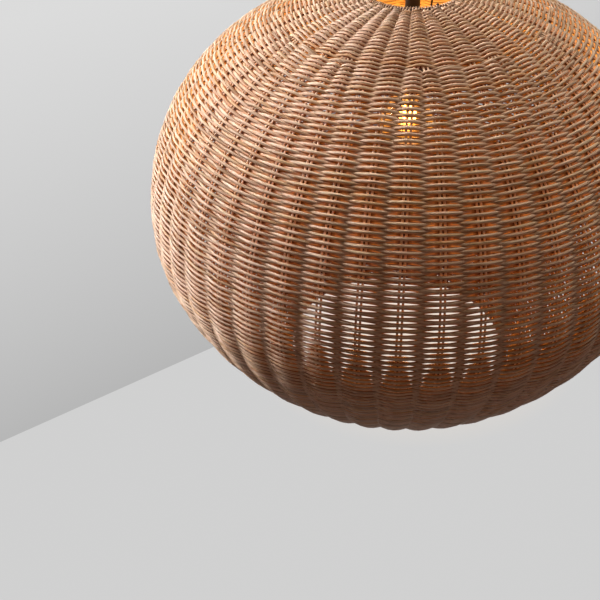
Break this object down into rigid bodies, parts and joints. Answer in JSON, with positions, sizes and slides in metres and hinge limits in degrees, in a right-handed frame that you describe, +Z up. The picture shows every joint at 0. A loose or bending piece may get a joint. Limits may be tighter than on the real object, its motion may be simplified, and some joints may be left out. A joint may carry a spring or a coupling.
{
  "type": "pendant ceiling light",
  "caption": "Pendant ceiling light with a woven rattan globe shade, hung on a rigid stem with a ceiling swivel, and a screw-in bulb in a holder that clamps the shade.",
  "frame": {"origin": "middle of the ceiling face, on the bracket's upper side", "axes": "+Z up into the ceiling, the light hangs along -Z; -Y is the side that faces the viewer, +X to the viewer's right"},
  "size_m": [0.5986, 0.5986, 0.6799],
  "materials": {
    "rattan": "natural round rattan",
    "stake_rattan": "darker natural rattan",
    "black_metal": "satin black",
    "steel": "zinc plated",
    "frame_wire": "dark brown lacquer",
    "black_plastic": "fine matte",
    "white_plastic": "matte",
    "ceramic": "unglazed",
    "brass": "bright",
    "cap_metal": "rolled thread",
    "clear_glass": "clear",
    "filament": "glowing warm white"
  },
  "bodies": {
    "ceiling_fitting": {"ceiling_bracket": "steel", "canopy_cup": "black_metal", "canopy_screw_left": "steel", "canopy_screw_right": "steel", "nipple": "steel", "nipple_nut": "steel", "yoke_nut": "steel", "terminal_block": "white_plastic"},
    "swivel": {"swivel_yoke": "black_metal", "pivot_screw": "steel", "pivot_nut": "steel"},
    "hanging_shade": {"stem_knuckle": "black_metal", "stem_tube": "black_metal", "stem_collar": "black_plastic", "holder_cap": "black_plastic", "holder_body": "black_plastic", "ceramic_insert": "ceramic", "thread_shell": "brass", "centre_contact": "brass", "upper_ring": "black_plastic", "carrier_ring": "frame_wire", "carrier_leg_01": "frame_wire", "carrier_leg_02": "frame_wire", "carrier_leg_03": "frame_wire", "upper_hoop": "frame_wire", "stake_panel_01": "stake_rattan", "stake_panel_02": "stake_rattan", "stake_panel_03": "stake_rattan", "stake_panel_04": "stake_rattan", "stake_panel_05": "stake_rattan", "stake_panel_06": "stake_rattan", "stake_panel_07": "stake_rattan", "stake_panel_08": "stake_rattan", "rim_rod": "stake_rattan", "crown_outer": "rattan", "crown_inner": "rattan", "course_01": "rattan", "course_02": "rattan", "course_03": "rattan", "course_04": "rattan", "course_05": "rattan", "course_06": "rattan", "course_07": "rattan", "course_08": "rattan", "course_09": "rattan", "course_10": "rattan", "course_11": "rattan", "course_12": "rattan"},
    "clamp_ring": {"lower_ring": "black_plastic"},
    "bulb": {"bulb_cap": "cap_metal", "bulb_insulator": "black_plastic", "bulb_tip": "cap_metal", "bulb_glass": "clear_glass", "filament_stem": "clear_glass", "filament_01": "filament", "filament_02": "filament", "filament_03": "filament", "filament_04": "filament"}
  },
  "joints": [
    {"name": "stem_turn", "type": "hinge", "parent": "ceiling_fitting", "child": "swivel", "pos_m": [0, 0, -0.0303], "axis": [0, 0, 1], "range_deg": [-170, 170]},
    {"name": "stem_tilt", "type": "hinge", "parent": "swivel", "child": "hanging_shade", "pos_m": [0, 0, -0.0493], "axis": [1, 0, 0], "range_deg": [-30, 30]},
    {"name": "clamp_ring_off", "type": "slide", "parent": "hanging_shade", "child": "clamp_ring", "axis": [0, 0, -1], "range_m": [0, 0.015]},
    {"name": "bulb_out", "type": "slide", "parent": "hanging_shade", "child": "bulb", "axis": [0, 0, -1], "range_m": [0, 0.42]}
  ]
}
